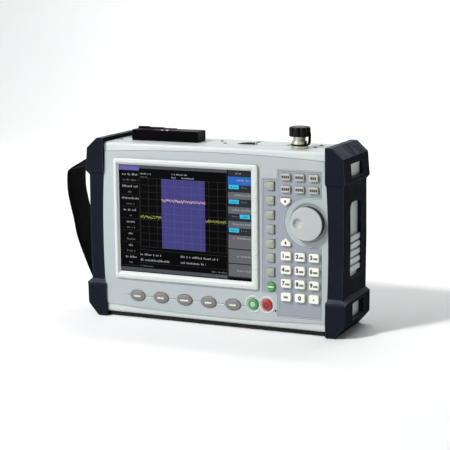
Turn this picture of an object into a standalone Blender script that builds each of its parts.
"""Portable network analyzer: a light grey case between two dark rubber guards, display and keypad in front.

Metres, +Z up, the front faces -Y. Everything is built about the case's centre line and hangs on one empty,
which moves it so that the origin is below the middle of the whole object, with the hand strap counted.
"""

import math

import bmesh
import bpy
from mathutils import Matrix, Vector

# ---- driving dimensions ----
GAP = 0.0003  # between neighbours
WALL = 0.0025

CASE_HALF = 0.1510  # half the case's width, guards left out
CASE_FRONT = -0.0385
CASE_BACK = 0.0380
CASE_SPLIT = 0.0200  # seam between the front housing and the rear cover
CASE_LOW = 0.0055
CASE_TOP = 0.2115
CASE_EDGE = 0.0035

PANEL_FRONT = -0.0400
PANEL_BACK = -0.0360
PANEL_LEFT_TOP = Vector((-0.1385, 0.2006))
PANEL_LEFT_LOW = Vector((-0.1405, 0.0165))
PANEL_SIDE_BOW = 0.0036
PANEL_TOP_BOW = 0.0043
PANEL_LOW_BOW = 0.0040

FRAME_LEFT, FRAME_RIGHT = -0.1265, 0.0590
FRAME_LOW, FRAME_TOP = 0.0490, 0.1937
FRAME_FRONT = -0.0432
VIEW_LEFT, VIEW_RIGHT = -0.1205, 0.0503
VIEW_LOW, VIEW_TOP = 0.0575, 0.1863
GLASS_LIP = 0.0025  # glass hidden behind the screen frame
GLASS_THICK = 0.0012
LCD_THICK = 0.0080

KEYPAD_FRONT = -0.0393
KEYPAD_BACK = -0.0374
SOFT_LEFT, SOFT_RIGHT = 0.0635, 0.0820
SOFT_LOW, SOFT_TOP = 0.0465, 0.1788
FUNCTION_LOW, FUNCTION_TOP = 0.1585, 0.1897
NUMBER_LOW, NUMBER_TOP = 0.0199, 0.1033
KEYPAD_RIGHT = 0.1365
KEYPAD_CORNER = 0.0018

KEY_BACK = -0.0345
KEY_CLEAR = 0.0004  # all round a key in its hole
KEY_FLANGE = 0.0007  # how far a key's foot reaches past its hole
KEY_TRAVEL_ROOM = 0.0020
KEY_EDGE = 0.0006
BOARD_THICK = 0.0016
SOFT_X, SOFT_FIRST, SOFT_PITCH, SOFT_FRONT = 0.0740, 0.1701, 0.01657, -0.0418
FUNCTION_COLUMNS, FUNCTION_ROWS, FUNCTION_FRONT = (0.0928, 0.1094, 0.1262), (0.1818, 0.1679), -0.0424
NUMBER_COLUMNS, NUMBER_ROWS = (0.0931, 0.1100, 0.1270), (0.0913, 0.0753, 0.0595, 0.0437)
NUMBER_FRONT = -0.0428
OVAL_FIRST, OVAL_PITCH, OVAL_HEIGHT = -0.0981, 0.0311, 0.0287
LOW_FRONT = -0.0422  # faces of the ovals and of the two round keys beside them

KNOB_X, KNOB_Z = 0.1198, 0.1308
KNOB_RADIUS = 0.01915
KNOB_FRONT = -0.0488
KNOB_SHAFT = 0.0035
DISH_RADIUS, DISH_FLOOR, DISH_DEPTH = 0.0228, 0.0200, 0.0012  # the shallow dish that the knob sits in
DIMPLE_RADIUS = 0.0065
DIMPLE_DEPTH = 0.0016

GUARD_DEPTH = 0.0430  # half of the guards' depth
GUARD_WAIST = 0.0400  # the same between the bumpers
SLOPE_END = 0.0370  # depth at which the bumpers' slopes end, inside the waist
GUARD_INNER = 0.1400
GUARD_TOP = 0.2165
BUMPER_EDGE = 0.0014
GROOVE_WIDTH, GROOVE_DEPTH = 0.0030, 0.0020  # across the tops of the guards
WINDOW_FRONT, WINDOW_BACK = -0.0190, 0.0205
STRAP_SLOT_BACK = 0.0320  # the left guard's small windows are wider, for the strap
LONG_LOW, LONG_TOP = 0.0645, 0.1525  # the guards' long middle window
UPPER_LOW, UPPER_TOP = 0.1805, 0.1965
LOWER_LOW, LOWER_TOP = 0.0180, 0.0375
WINDOW_CORNER = 0.0015
PAD_REACH = 0.1588  # how far the case stands out inside the right guard's small windows
GRILLE_FACE, RIB_FACE = 0.1568, 0.1600  # the vent insert's plate and its ribs

STRAP_FRONT, STRAP_BACK = -0.0180, 0.0260
STRAP_THICK = 0.0024
STRAP_BAR_X = -0.1563
STRAP_BAR_RADIUS = 0.0016

RF_X, RF_Y = 0.1000, -0.0160
RF_THREAD, RF_SHOULDER, RF_BASE, RF_BORE = 0.0079, 0.0090, 0.0104, 0.0043  # radii of the coaxial socket
RF_HEIGHT = 0.0220
CAP_RADIUS, CAP_SCALLOP, CAP_LOW, CAP_HIGH = 0.0121, 0.0007, 0.0134, 0.0245
COVER_LEFT, COVER_RIGHT = -0.1170, -0.0298
COVER_FRONT, COVER_BACK = -0.0120, 0.0110
COVER_TOP = 0.2245

ROUND_STEPS = 28

# ---- start from an empty scene ----
for old in list(bpy.data.objects):
    bpy.data.objects.remove(old, do_unlink=True)

parts = bpy.data.collections.new("network_analyzer")
cutters = bpy.data.collections.new("cutters")
key_cutters = bpy.data.collections.new("key_cutters")
panel_cutters = bpy.data.collections.new("panel_cutters")
for collection in (parts, cutters):
    bpy.context.scene.collection.children.link(collection)
for collection in (key_cutters, panel_cutters):
    cutters.children.link(collection)

case = bpy.data.objects.new("case", None)
parts.objects.link(case)


# ---- materials: colour, roughness, metallic ----
FINISHES = {
    "case_grey": ((0.58, 0.63, 0.62), 0.45, 0.0),
    "panel_grey": ((0.50, 0.55, 0.56), 0.45, 0.0),
    "frame_grey": ((0.70, 0.75, 0.73), 0.40, 0.0),
    "keypad_blue": ((0.36, 0.41, 0.48), 0.50, 0.0),
    "guard_navy": ((0.016, 0.020, 0.030), 0.60, 0.0),
    "strap_black": ((0.006, 0.006, 0.008), 0.90, 0.0),
    "softkey_green": ((0.42, 0.46, 0.38), 0.55, 0.0),
    "key_cream": ((0.74, 0.75, 0.68), 0.50, 0.0),
    "key_warm_grey": ((0.27, 0.25, 0.24), 0.40, 0.0),
    "key_green": ((0.08, 0.33, 0.09), 0.40, 0.0),
    "key_red": ((0.50, 0.04, 0.05), 0.40, 0.0),
    "knob_grey": ((0.52, 0.57, 0.56), 0.50, 0.0),
    "screen_glass": ((0.01, 0.01, 0.012), 0.08, 0.0),
    "lcd_metal": ((0.45, 0.46, 0.48), 0.35, 1.0),
    "board_green": ((0.02, 0.16, 0.07), 0.50, 0.0),
    "shield_metal": ((0.60, 0.61, 0.62), 0.35, 1.0),
    "battery_dark": ((0.03, 0.03, 0.035), 0.60, 0.0),
    "base_dark": ((0.04, 0.042, 0.04), 0.60, 0.0),
    "nickel": ((0.66, 0.65, 0.60), 0.28, 1.0),
    "contact_gold": ((0.80, 0.60, 0.25), 0.30, 1.0),
    "cap_black": ((0.008, 0.008, 0.010), 0.50, 0.0),
    "bar_steel": ((0.50, 0.50, 0.52), 0.35, 1.0),
}


def material(finish):
    """The named finish, made the first time it is asked for."""
    made = bpy.data.materials.get(finish)
    if made:
        return made
    colour, roughness, metallic = FINISHES[finish]
    made = bpy.data.materials.new(finish)
    made.use_nodes = True
    shader = made.node_tree.nodes["Principled BSDF"]
    shader.inputs["Base Color"].default_value = (*colour, 1.0)
    shader.inputs["Roughness"].default_value = roughness
    shader.inputs["Metallic"].default_value = metallic
    made.diffuse_color = (*colour, 1.0)
    return made


# ---- making and joining solids ----
def place(name, mesh, finish, home=parts, at=(0.0, 0.0, 0.0)):
    """An object with this mesh. A cutter has no finish and isn't rendered."""
    piece = bpy.data.objects.new(name, mesh)
    home.objects.link(piece)
    piece.parent = case
    piece.location = at
    if finish:
        mesh.materials.append(material(finish))
    if home is not parts:
        piece.hide_render = True
        piece.display_type = "WIRE"
    return piece


def box(name, low, high, finish=None, home=parts):
    low, high = Vector(low), Vector(high)
    mesh = bpy.data.meshes.new(name)
    solid = bmesh.new()
    sides = Matrix.Diagonal((*(high - low), 1.0))
    bmesh.ops.create_cube(solid, size=1.0, matrix=Matrix.Translation((low + high) / 2) @ sides)
    solid.to_mesh(mesh)
    solid.free()
    return place(name, mesh, finish, home)


TURNS = {
    "front": Matrix.Rotation(math.radians(90), 4, "X"),  # outline in X and Z, thickness along Y
    "side": Matrix(((0, 0, 1, 0), (1, 0, 0, 0), (0, 1, 0, 0), (0, 0, 0, 1))),  # outline in Y and Z
    "top": Matrix.Identity(4),  # outline in X and Y
}
THICKNESS_AXIS = {"front": (0, 1, 0), "side": (1, 0, 0), "top": (0, 0, 1)}


def prism(name, outline, start, end, facing="front", finish=None, home=parts, at=(0, 0, 0)):
    """A flat outline given a thickness from start to end, as a filled 2D curve turned into a mesh."""
    curve = bpy.data.curves.new(name, "CURVE")
    curve.dimensions = "2D"
    curve.fill_mode = "BOTH"
    curve.extrude = abs(end - start) / 2
    spline = curve.splines.new("POLY")
    spline.points.add(len(outline) - 1)
    for point, (across, up) in zip(spline.points, outline):
        point.co = (across, up, 0.0, 1.0)
    spline.use_cyclic_u = True
    drawn = bpy.data.objects.new(name, curve)
    bpy.context.scene.collection.objects.link(drawn)
    middle = Vector(THICKNESS_AXIS[facing]) * (start + end) / 2
    drawn.matrix_world = Matrix.Translation(middle) @ TURNS[facing]
    bpy.context.view_layer.update()
    mesh = bpy.data.meshes.new_from_object(drawn.evaluated_get(bpy.context.evaluated_depsgraph_get()))
    mesh.transform(drawn.matrix_world)
    bpy.data.objects.remove(drawn, do_unlink=True)
    solid = bmesh.new()
    solid.from_mesh(mesh)
    bmesh.ops.remove_doubles(solid, verts=solid.verts, dist=1e-6)
    bmesh.ops.recalc_face_normals(solid, faces=solid.faces)
    solid.to_mesh(mesh)
    solid.free()
    return place(name, mesh, finish, home, at)


def turned(name, profile, finish=None, home=parts, at=(0, 0, 0), along="Z", steps=ROUND_STEPS):
    """A closed profile of (radius, height) turned about Z, or about Y with heights towards the front."""
    mesh = bpy.data.meshes.new(name)
    solid = bmesh.new()
    ring = [solid.verts.new((radius, 0.0, height)) for radius, height in profile]
    for here, following in zip(ring, ring[1:]):
        solid.edges.new((here, following))
    solid.to_mesh(mesh)
    solid.free()
    piece = place(name, mesh, finish, home, at)
    screw = piece.modifiers.new("turn", "SCREW")
    screw.steps = screw.render_steps = steps
    screw.use_merge_vertices = True
    screw.merge_threshold = 1e-6
    if along == "Y":
        piece.rotation_euler.x = math.radians(90)
    return piece


def cylinder(name, radius, low, high, centre, facing="top", finish=None, home=parts, steps=ROUND_STEPS):
    return prism(name, oval(centre, radius, radius, steps), low, high, facing, finish, home)


def bevel(piece, width, segments=1, sharper_than=25):
    edge = piece.modifiers.new("edges", "BEVEL")
    edge.width = width
    edge.segments = segments
    edge.limit_method = "ANGLE"
    edge.angle_limit = math.radians(sharper_than)
    return piece


def boolean(piece, other, operation="DIFFERENCE"):
    """Cuts, or joins, the other object, or every object of a collection, into this one."""
    cut = piece.modifiers.new(other.name, "BOOLEAN")
    cut.operation = operation
    if isinstance(other, bpy.types.Collection):
        cut.operand_type = "COLLECTION"
        cut.collection = other
    else:
        cut.object = other
    return piece


def smooth(piece, angle=30):
    piece.data.shade_smooth()
    piece.data.set_sharp_from_angle(angle=math.radians(angle))
    return piece


# ---- outlines ----
def arc(centre, radius, start, end, steps):
    """Points on a circle from one angle to another, in degrees."""
    points = []
    for step in range(steps + 1):
        angle = math.radians(start + (end - start) * step / steps)
        points.append((centre[0] + radius * math.cos(angle), centre[1] + radius * math.sin(angle)))
    return points


def oval(centre, half_width, half_height, steps=24):
    turns = [2 * math.pi * step / steps for step in range(steps)]
    return [(centre[0] + half_width * math.cos(t), centre[1] + half_height * math.sin(t)) for t in turns]


def softened(corners, radius, steps=3):
    """The polygon with each corner rounded."""
    points = []
    for index, corner in enumerate(corners):
        corner = Vector(corner)
        before = (Vector(corners[index - 1]) - corner).normalized()
        after = (Vector(corners[(index + 1) % len(corners)]) - corner).normalized()
        half = before.angle(after) / 2
        reach = radius / math.tan(half)
        middle = corner + (before + after).normalized() * radius / math.sin(half)
        first, last = corner + before * reach - middle, corner + after * reach - middle
        for step in range(steps + 1):
            points.append(tuple(middle + first.lerp(last, step / steps).normalized() * radius))
    return points


def rectangle(left, right, low, top, radius=0.0, steps=3):
    corners = [(left, low), (right, low), (right, top), (left, top)]
    return softened(corners, radius, steps) if radius else corners


def bowed(start, end, bow, steps):
    """Points from start up to end, end left out, on an even curve that stands out by bow to the right."""
    start, end = Vector(start), Vector(end)
    along = end - start
    out = Vector((along.y, -along.x)).normalized() * bow
    shares = [step / steps for step in range(steps)]
    return [tuple(start + along * share + out * 4 * share * (1 - share)) for share in shares]


def mirrored(point):
    return Vector((-point[0], point[1]))


def panel_outline(grow=0.0):
    """The barrel-shaped front panel: all four sides bow outwards."""
    left_top = PANEL_LEFT_TOP + Vector((-grow, grow))
    left_low = PANEL_LEFT_LOW + Vector((-grow, -grow))
    right_low, right_top = mirrored(left_low), mirrored(left_top)
    outline = bowed(left_low, right_low, PANEL_LOW_BOW, 14)
    outline += bowed(right_low, right_top, PANEL_SIDE_BOW, 10)
    outline += bowed(right_top, left_top, PANEL_TOP_BOW, 14)
    outline += bowed(left_top, left_low, PANEL_SIDE_BOW, 10)
    return outline


def keypad_outline(grow=0.0):
    """The keypad's field: soft key column, function block and number block, cut round by the knob's ring."""
    low, top = NUMBER_TOP + grow, FUNCTION_LOW - grow
    right, left, step_in = KEYPAD_RIGHT + grow, SOFT_LEFT - grow, SOFT_RIGHT - grow
    function_top, number_low = FUNCTION_TOP + grow, NUMBER_LOW - grow
    soft_top, soft_low = SOFT_TOP + grow, SOFT_LOW - grow
    corners = [(KNOB_X, top), (right, top), (right, function_top), (step_in, function_top)]
    corners += [(step_in, soft_top), (left, soft_top), (left, soft_low), (step_in, soft_low)]
    corners += [(step_in, number_low)]
    corners += [(right, number_low), (right, low), (KNOB_X, low)]
    steps = 3
    edge = softened(corners, KEYPAD_CORNER, steps)[steps + 1 : -steps - 1]
    return edge + arc((KNOB_X, (low + top) / 2), (top - low) / 2, 270, 90, 24)


def soft_key(grow):
    """Flat on the right, round on the left."""
    half_height, flat = 0.0051 + grow, 0.0050 + grow
    return [(flat, half_height)] + arc((-0.0012, 0.0), half_height, 90, 270, 8) + [(flat, -half_height)]


def block_key(width, height):
    return lambda grow: rectangle(
        -width / 2 - grow, width / 2 + grow, -height / 2 - grow, height / 2 + grow, 0.0012 + grow, 2
    )


def arrow_key(up):
    """A shield with its tip pointing up or down."""

    def outline(grow):
        half, tip, shoulder, foot = 0.0058 + grow, 0.0050 + 1.3 * grow, 0.0002, -0.0038 - grow
        corners = [(-half, foot), (half, foot), (half, shoulder), (0.0, tip), (-half, shoulder)]
        if not up:
            corners = [(-x, -z) for x, z in corners]
        return softened(corners, 0.0010, 2)

    return outline


def round_key(half_width, half_height):
    return lambda grow: oval((0.0, 0.0), half_width + grow, half_height + grow, 20)


# ---- case ----
def case_shell(name, front, back):
    """The part of the hollow, round-edged case that lies between two depths."""
    shell = box(name, (-CASE_HALF, CASE_FRONT, CASE_LOW), (CASE_HALF, CASE_BACK, CASE_TOP), "case_grey")
    bevel(shell, CASE_EDGE, 4)
    inside_low = (-CASE_HALF + WALL, CASE_FRONT + WALL, CASE_LOW + WALL)
    inside_high = (CASE_HALF - WALL, CASE_BACK - WALL, CASE_TOP - WALL)
    boolean(shell, box(f"{name}_inside", inside_low, inside_high, None, cutters))
    slab = box(f"{name}_slab", (-1.2 * CASE_HALF, front, -0.1), (1.2 * CASE_HALF, back, 0.3), None, cutters)
    return boolean(shell, slab, "INTERSECT")


def make_front_housing():
    housing = case_shell("front_housing", -0.1, CASE_SPLIT)
    boolean(housing, prism("panel_seat", panel_outline(GAP), -0.05, -0.03, "front", None, cutters))
    above = CASE_TOP - 0.01, CASE_TOP + 0.01
    socket = oval((RF_X, RF_Y), 0.0060, 0.0060, ROUND_STEPS)
    crescent = arc((0.0275, -0.0330), 0.0305, 69, 111, 10) + [(0.0165, -0.0055), (0.0385, -0.0055)]
    ports = rectangle(COVER_LEFT + 0.006, COVER_RIGHT - 0.006, COVER_FRONT + 0.0055, COVER_BACK - 0.0045)
    for name, outline in (("socket_hole", socket), ("crescent_hole", crescent), ("port_hole", ports)):
        boolean(housing, prism(name, outline, *above, "top", None, cutters))
    for name, low, top in (("upper", UPPER_LOW, UPPER_TOP), ("lower", LOWER_LOW, LOWER_TOP)):
        edge = WINDOW_CORNER - GAP
        pad = rectangle(WINDOW_FRONT + GAP, CASE_SPLIT - GAP, low + GAP, top - GAP, edge)
        start = CASE_HALF - WALL / 2
        boolean(housing, prism(f"{name}_window_pad", pad, start, PAD_REACH, "side", None, cutters), "UNION")
    return smooth(housing)


def make_rear_cover():
    """The shallow rear half, with exhaust slots behind the electronics and a framed battery bay."""
    cover = case_shell("rear_cover", CASE_SPLIT + GAP, 0.1)
    slots, pitch, first, tall = 9, 0.0062, 0.1240, 0.0030
    for index in range(slots):
        low = first + index * pitch
        corners = (0.0400, 0.0200, low), (0.1150, 0.0500, low + tall)
        boolean(cover, box(f"exhaust_slot_{index}", *corners, None, cutters))
    line_depth = 0.0008
    for name, low, top in (("bay_low", 0.0300, 0.0312), ("bay_top", 0.1138, 0.1150)):
        boolean(cover, box(name, (-0.1200, CASE_BACK - line_depth, low), (0.0200, 0.05, top), None, cutters))
    return smooth(cover)


def make_front_panel():
    panel = prism("front_panel", panel_outline(), PANEL_FRONT, PANEL_BACK, "front", "panel_grey")
    bevel(panel, 0.0006)
    past_glass = GLASS_LIP + GAP
    left, right = VIEW_LEFT - past_glass, VIEW_RIGHT + past_glass
    window = rectangle(left, right, VIEW_LOW - past_glass, VIEW_TOP + past_glass)
    knob_hole = oval((KNOB_X, KNOB_Z), KNOB_SHAFT + 0.0007, KNOB_SHAFT + 0.0007, ROUND_STEPS)
    for name, outline in (("window", window), ("keypad", keypad_outline(GAP)), ("knob_hole", knob_hole)):
        boolean(panel, prism(f"{name}_cutter", outline, -0.05, -0.03, "front", None, cutters))
    rim, past = -PANEL_FRONT, 0.0020
    floor = rim - DISH_DEPTH
    flare = (DISH_RADIUS - DISH_FLOOR) / DISH_DEPTH
    dish = [(0.0, rim + past), (DISH_RADIUS + past * flare, rim + past), (DISH_FLOOR, floor), (0.0, floor)]
    boolean(panel, turned("knob_dish", dish, None, cutters, (KNOB_X, 0.0, KNOB_Z), "Y", 56))
    line_back = PANEL_FRONT + 0.0004
    boolean(panel, box("oval_line", (-0.1150, -0.05, 0.0284), (0.0450, line_back, 0.0290), None, cutters))
    reset_hole = oval((0.0795, 0.0258), 0.0009, 0.0009, 10)
    boolean(panel, prism("reset_hole", reset_hole, -0.05, -0.03, "front", None, cutters))
    boolean(panel, panel_cutters)
    return panel


def make_screen():
    """The raised frame with its sloping inner edge, the cover glass and the display module behind it."""
    outline = rectangle(FRAME_LEFT, FRAME_RIGHT, FRAME_LOW, FRAME_TOP, 0.003)
    frame = prism("screen_frame", outline, FRAME_FRONT, PANEL_FRONT - GAP, "front", "frame_grey")
    bevel(frame, 0.0009, 2)
    slope = 0.0038
    view = rectangle(VIEW_LEFT, VIEW_RIGHT, VIEW_LOW, VIEW_TOP)
    opening = prism("view_cutter", view, -0.05, -0.03, "front", None, cutters)
    for corner in opening.data.vertices:
        if corner.co.y < PANEL_FRONT:
            corner.co.x += math.copysign(slope, corner.co.x - (VIEW_LEFT + VIEW_RIGHT) / 2)
            corner.co.z += math.copysign(slope, corner.co.z - (VIEW_LOW + VIEW_TOP) / 2)
    boolean(frame, opening)
    glass_front = PANEL_FRONT + 0.0001
    low = (VIEW_LEFT - GLASS_LIP, glass_front, VIEW_LOW - GLASS_LIP)
    high = (VIEW_RIGHT + GLASS_LIP, glass_front + GLASS_THICK, VIEW_TOP + GLASS_LIP)
    box("display_glass", low, high, "screen_glass")
    lcd_front = glass_front + GLASS_THICK + GAP
    box("lcd_module", (low[0], lcd_front, low[2]), (high[0], lcd_front + LCD_THICK, high[2]), "lcd_metal")


def make_base_plate():
    """Dark underside pan, recessed behind the guards' feet."""
    half, foot = GUARD_INNER - 0.0015, 0.0022
    base = box("base_plate", (-half, -0.0365, foot), (half, 0.0360, CASE_LOW - GAP), "base_dark")
    bevel(base, 0.0008)


# ---- guards ----
def make_bumper(name, side, corners, full, inside, far):
    """A guard's thicker end: its outline seen from the front, cut to slope back to the waist front and rear.

    It has its full depth from the height full to far. Its slope ends within the waist, at the height inside.
    """
    outline = [(side * x, z) for x, z in corners]
    bumper = prism(name, outline, -GUARD_DEPTH, GUARD_DEPTH, "front", None, cutters)
    profile = [(-SLOPE_END, inside), (-GUARD_DEPTH, full), (-GUARD_DEPTH, far)]
    profile += [(-y, z) for y, z in reversed(profile)]
    reach = sorted((side * 0.1300, side * 0.1700))
    boolean(bumper, prism(f"{name}_slope", profile, *reach, "side", None, cutters), "INTERSECT")
    return bevel(bumper, BUMPER_EDGE)


def make_guard(side, name, small_window_back):
    """One rubber end guard: a waist with a bumper at each end, fitted round the case, with three windows."""
    waist = [(0.1385, 0.0300), (0.1610, 0.0300), (0.1618, 0.1100), (0.1610, 0.1900), (0.1385, 0.1900)]
    upper = [(GUARD_INNER, 0.1662), (0.1555, 0.1662), (0.1637, 0.1768), (0.1613, 0.2043)]
    upper += [(0.1480, GUARD_TOP), (GUARD_INNER, GUARD_TOP)]
    lower = [(GUARD_INNER, 0.0), (0.1515, 0.0), (0.1651, 0.0158), (0.1653, 0.0397)]
    lower += [(0.1563, 0.0503), (GUARD_INNER, 0.0503)]
    guard = prism(name, [(side * x, z) for x, z in waist], -GUARD_WAIST, GUARD_WAIST, "front", "guard_navy")
    bevel(guard, 0.0020)
    boolean(guard, make_bumper(f"{name}_upper", side, upper, 0.1768, 0.1662, 0.2300), "UNION")
    boolean(guard, make_bumper(f"{name}_lower", side, lower, 0.0397, 0.0503, -0.0100), "UNION")
    room = (-CASE_HALF - GAP, CASE_FRONT - GAP, CASE_LOW - GAP)
    top = (CASE_HALF + GAP, CASE_BACK + GAP, CASE_TOP + GAP)
    boolean(guard, bevel(box(f"{name}_case_room", room, top, None, cutters), CASE_EDGE - 0.0010, 2))
    boolean(guard, prism(f"{name}_panel_room", panel_outline(GAP), -0.0415, -0.03, "front", None, cutters))
    windows = {
        "long": rectangle(WINDOW_FRONT + 0.0015, WINDOW_BACK, LONG_LOW, LONG_TOP, 0.0080, 5),
        "upper": rectangle(WINDOW_FRONT, small_window_back, UPPER_LOW, UPPER_TOP, WINDOW_CORNER),
        "lower": rectangle(WINDOW_FRONT, small_window_back, LOWER_LOW, LOWER_TOP, WINDOW_CORNER),
    }
    for window, outline in windows.items():
        reach = sorted((side * 0.1450, side * 0.1750))
        boolean(guard, prism(f"{name}_{window}_window", outline, *reach, "side", None, cutters))
    top_line = [(0.1300, GUARD_TOP), (0.1475, GUARD_TOP), (0.1700, 0.1958)]
    outline = [(side * x, z - GROOVE_DEPTH) for x, z in top_line]
    outline += [(side * 0.1700, 0.2300), (side * 0.1300, 0.2300)]
    for index, start in enumerate((0.0005, 0.0295)):
        groove = prism(f"{name}_groove_{index}", outline, start, start + GROOVE_WIDTH, "front", None, cutters)
        boolean(guard, groove)


def make_vent_grille():
    """The louvred insert behind the right guard's long window: a plate with ribs across its lower half."""
    back = CASE_HALF + GAP
    low, top = LONG_LOW - 0.01, LONG_TOP + 0.01
    ribs, pitch, rib_height, first = 5, 0.0087, 0.0066, 0.0712
    comb = [(back, low), (GRILLE_FACE, low)]
    for index in range(ribs):
        foot = first + index * pitch
        head = foot + rib_height
        comb += [(GRILLE_FACE, foot), (RIB_FACE, foot), (RIB_FACE, head), (GRILLE_FACE, head)]
    comb += [(GRILLE_FACE, top), (back, top)]
    grille = prism("vent_grille", comb, WINDOW_FRONT - 0.01, WINDOW_BACK + 0.01, "front", "case_grey")
    bevel(grille, 0.0005)
    clear = 0.0006
    front, rear = WINDOW_FRONT + 0.0015 + clear, WINDOW_BACK - clear
    shape = rectangle(front, rear, LONG_LOW + clear, LONG_TOP - clear, 0.0076, 5)
    whole = prism("grille_shape", shape, back - 0.01, RIB_FACE + 0.01, "side", None, cutters)
    boolean(grille, whole, "INTERSECT")


# ---- hand strap ----
def make_strap():
    """A webbing band that leaves the left guard's upper window and comes back in at the lower one."""
    outer = [(-0.1590, 0.1925), (-0.1746, 0.1885), (-0.1900, 0.1800), (-0.2005, 0.1740), (-0.2050, 0.1680)]
    outer += [(-0.2053, 0.1485), (-0.2030, 0.1340), (-0.1976, 0.1125), (-0.1918, 0.0861), (-0.1750, 0.0455)]
    outer += [(-0.1665, 0.0330), (-0.1590, 0.0285)]
    inner = []
    for index, point in enumerate(outer):
        before = Vector(outer[max(index - 1, 0)])
        after = Vector(outer[min(index + 1, len(outer) - 1)])
        along = (after - before).normalized()
        inner.append(tuple(Vector(point) + Vector((-along.y, along.x)) * STRAP_THICK))
    outline = outer + inner[::-1]
    prism("hand_strap", outline, STRAP_FRONT, STRAP_BACK, "front", "strap_black")
    for name, height in (("strap_bar_top", 0.1910), ("strap_bar_bottom", 0.0290)):
        low, high = WINDOW_FRONT + GAP, STRAP_SLOT_BACK - GAP
        cylinder(name, STRAP_BAR_RADIUS, low, high, (STRAP_BAR_X, height), "front", "bar_steel", parts, 12)


# ---- keypad ----
def key(name, outline, x, z, front, finish):
    """A key with a wider foot behind its hole, its origin on its own line of travel."""
    cap = prism(name, outline(0.0), front, KEY_BACK, "front", finish, parts, (x, 0.0, z))
    bevel(cap, KEY_EDGE, 1, 60)
    on_panel = finish in ("key_warm_grey", "key_green", "key_red") and name != "key_return"
    foot_front = (PANEL_BACK if on_panel else KEYPAD_BACK) + GAP
    foot_back = KEY_BACK - 0.0002
    wide = outline(KEY_CLEAR + KEY_FLANGE)
    foot = prism(f"{name}_foot", wide, foot_front, foot_back, "front", None, cutters, (x, 0.0, z))
    boolean(cap, foot, "UNION")
    home = panel_cutters if on_panel else key_cutters
    prism(f"{name}_hole", outline(KEY_CLEAR), -0.05, -0.03, "front", None, home, (x, 0.0, z))


def make_keys():
    for index in range(7):
        height = SOFT_FIRST - index * SOFT_PITCH
        key(f"soft_key_{index + 1}", soft_key, SOFT_X, height, SOFT_FRONT, "softkey_green")
    key("key_return", round_key(0.0055, 0.0055), SOFT_X, 0.0540, SOFT_FRONT, "key_green")
    function_key, number_key = block_key(0.0110, 0.0076), block_key(0.0120, 0.0096)
    for row, height in enumerate(FUNCTION_ROWS):
        for column, x in enumerate(FUNCTION_COLUMNS):
            key(f"function_key_{row * 3 + column + 1}", function_key, x, height, FUNCTION_FRONT, "key_cream")
    key("arrow_key_1", arrow_key(False), 0.0925, 0.1543, FUNCTION_FRONT, "key_cream")
    key("arrow_key_2", arrow_key(True), 0.0928, 0.1062, FUNCTION_FRONT, "key_cream")
    for row, height in enumerate(NUMBER_ROWS):
        for column, x in enumerate(NUMBER_COLUMNS):
            key(f"number_key_{row * 3 + column + 1}", number_key, x, height, NUMBER_FRONT, "key_cream")
    for index in range(5):
        x = OVAL_FIRST + index * OVAL_PITCH
        key(f"oval_key_{index + 1}", round_key(0.0100, 0.0067), x, OVAL_HEIGHT, LOW_FRONT, "key_warm_grey")
    key("key_start", round_key(0.0064, 0.0064), 0.0518, 0.0316, LOW_FRONT, "key_green")
    key("key_power", round_key(0.0065, 0.0065), 0.0690, 0.0321, LOW_FRONT, "key_red")


def make_keypad():
    panel = prism("keypad_panel", keypad_outline(), KEYPAD_FRONT, KEYPAD_BACK, "front", "keypad_blue")
    boolean(panel, key_cutters)
    board_front = KEY_BACK + KEY_TRAVEL_ROOM
    left, right, step_in, low, top = -0.1150, 0.1370, 0.0600, 0.0180, 0.1930
    corners = [(left, low), (right, low), (right, top), (step_in, top), (step_in, 0.0430), (left, 0.0430)]
    prism("key_board", corners, board_front, board_front + BOARD_THICK, "front", "board_green")
    low = (KNOB_X - 0.0065, PANEL_BACK + GAP, KNOB_Z - 0.0065)
    high = (KNOB_X + 0.0065, board_front - GAP, KNOB_Z + 0.0065)
    box("knob_encoder", low, high, "shield_metal")


def make_knob():
    """A low disc with a finger dimple, turned about its shaft; heights run towards the front."""
    front, back = -KNOB_FRONT, -(PANEL_FRONT + DISH_DEPTH - GAP)
    profile = [(0.0, front), (KNOB_RADIUS - 0.0016, front), (KNOB_RADIUS - 0.0004, front - 0.0006)]
    profile += [(KNOB_RADIUS, front - 0.0018), (KNOB_RADIUS, back), (KNOB_SHAFT, back)]
    profile += [(KNOB_SHAFT, -PANEL_BACK), (0.0, -PANEL_BACK)]
    knob = turned("knob", profile, "knob_grey", parts, (KNOB_X, 0.0, KNOB_Z), "Y")
    ball_radius = (DIMPLE_RADIUS**2 + DIMPLE_DEPTH**2) / (2 * DIMPLE_DEPTH)
    ball = bpy.data.meshes.new("dimple_ball")
    solid = bmesh.new()
    bmesh.ops.create_uvsphere(solid, u_segments=36, v_segments=24, radius=ball_radius)
    solid.to_mesh(ball)
    solid.free()
    ball_at = (KNOB_X - 0.0100, KNOB_FRONT - ball_radius + DIMPLE_DEPTH, KNOB_Z)
    boolean(knob, place("dimple_ball", ball, None, cutters, ball_at))
    smooth(knob)


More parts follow.
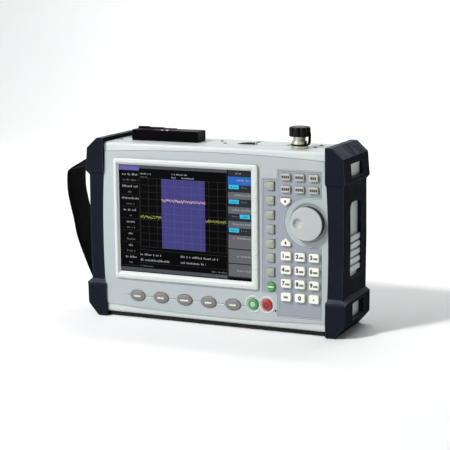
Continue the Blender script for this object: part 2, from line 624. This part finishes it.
# ---- top side ----
def make_rf_connector():
    """A coaxial socket with a shoulder, its centre contact, and the scalloped dust cap over it."""
    low = CASE_TOP + GAP
    top, neck, step_up, tail, tail_radius = RF_HEIGHT, 0.0128, 0.0048, 0.0080, 0.0054
    profile = [(RF_BORE, top), (RF_THREAD, top), (RF_THREAD, neck), (RF_SHOULDER, neck)]
    profile += [(RF_SHOULDER, step_up), (RF_BASE, step_up), (RF_BASE, 0.0), (tail_radius, 0.0)]
    profile += [(tail_radius, -tail), (0.0, -tail), (0.0, tail), (RF_BORE, tail), (RF_BORE, top)]
    smooth(turned("rf_connector", profile, "nickel", parts, (RF_X, RF_Y, low)))
    pin, bead, bead_low, bead_top = 0.0015, RF_BORE - 0.0004, tail + GAP, 0.0110
    contact = [(0.0, 0.0205), (pin, 0.0200), (pin, bead_top), (bead, bead_top)]
    contact += [(bead, bead_low), (0.0, bead_low)]
    smooth(turned("connector_contact", contact, "contact_gold", parts, (RF_X, RF_Y, low)))
    lobes, steps = 8, 48
    scallops = []
    for step in range(steps):
        turn = 2 * math.pi * step / steps
        radius = CAP_RADIUS + CAP_SCALLOP * math.cos(lobes * turn)
        scallops.append((radius * math.cos(turn), radius * math.sin(turn)))
    axis = (RF_X, RF_Y, 0.0)
    cap = prism("dust_cap", scallops, low + CAP_LOW, low + CAP_HIGH, "top", "cap_black", parts, axis)
    bevel(cap, 0.0014, 1, 60)
    inside = oval((RF_X, RF_Y), RF_THREAD + 0.0005, RF_THREAD + 0.0005, ROUND_STEPS)
    boolean(cap, prism("cap_room", inside, low, low + RF_HEIGHT + 0.0006, "top", None, cutters))
    smooth(cap, 40)


def make_ports():
    """Interface sockets under a hinged black cover."""
    low = CASE_TOP + GAP
    block_low = (COVER_LEFT + 0.0065, COVER_FRONT + 0.0060, CASE_TOP - 0.0120)
    block_high = (COVER_RIGHT - 0.0065, COVER_BACK - 0.0050, low + 0.0050)
    block = box("port_block", block_low, block_high, "shield_metal")
    sockets = [(-0.1000, 0.0155), (-0.0790, 0.0125), (-0.0610, 0.0125), (-0.0460, 0.0080)]
    for index, (x, width) in enumerate(sockets):
        low_corner = (x - width / 2, COVER_FRONT + 0.0080, CASE_TOP - 0.0080)
        high_corner = (x + width / 2, COVER_BACK - 0.0070, 0.25)
        boolean(block, box(f"socket_{index}", low_corner, high_corner, None, cutters))
    cover_high = (COVER_RIGHT, COVER_BACK, COVER_TOP)
    cover = box("port_cover", (COVER_LEFT, COVER_FRONT, low), cover_high, "cap_black")
    hinge_y, hinge_z = COVER_BACK, low
    cover.data.transform(Matrix.Translation((0.0, -hinge_y, -hinge_z)))
    cover.location = (0.0, hinge_y, hinge_z)
    bevel(cover, 0.0008)
    wall = 0.0016
    room_low = (COVER_LEFT + wall, COVER_FRONT + wall, CASE_TOP - 0.01)
    room_high = (COVER_RIGHT - wall, COVER_BACK - wall, COVER_TOP - wall)
    boolean(cover, box("cover_room", room_low, room_high, None, cutters))


# ---- inside ----
def make_inside():
    board_front = -0.0100
    board_back = board_front + BOARD_THICK
    box("main_board", (-0.1300, board_front, 0.0180), (0.1300, board_back, 0.1900), "board_green")
    bevel(box("rf_module", (0.0350, -0.0080, 0.1000), (0.1250, 0.0100, 0.1850), "shield_metal"), 0.0010)
    bevel(box("battery", (-0.1150, -0.0080, 0.0320), (0.0150, 0.0180, 0.1120), "battery_dark"), 0.0020)


make_front_housing()
make_rear_cover()
make_keys()
make_front_panel()
make_screen()
make_keypad()
make_knob()
make_base_plate()
make_guard(-1, "left_guard", STRAP_SLOT_BACK)
make_guard(1, "right_guard", WINDOW_BACK)
make_vent_grille()
make_strap()
make_rf_connector()
make_ports()
make_inside()

# The strap reaches further left than the right guard reaches right, and the knob stands out in front:
# centre the whole on the origin.
STRAP_REACH, GUARD_REACH = 0.2053, 0.1653
case.location = ((STRAP_REACH - GUARD_REACH) / 2, -(KNOB_FRONT + GUARD_DEPTH) / 2, 0.0)
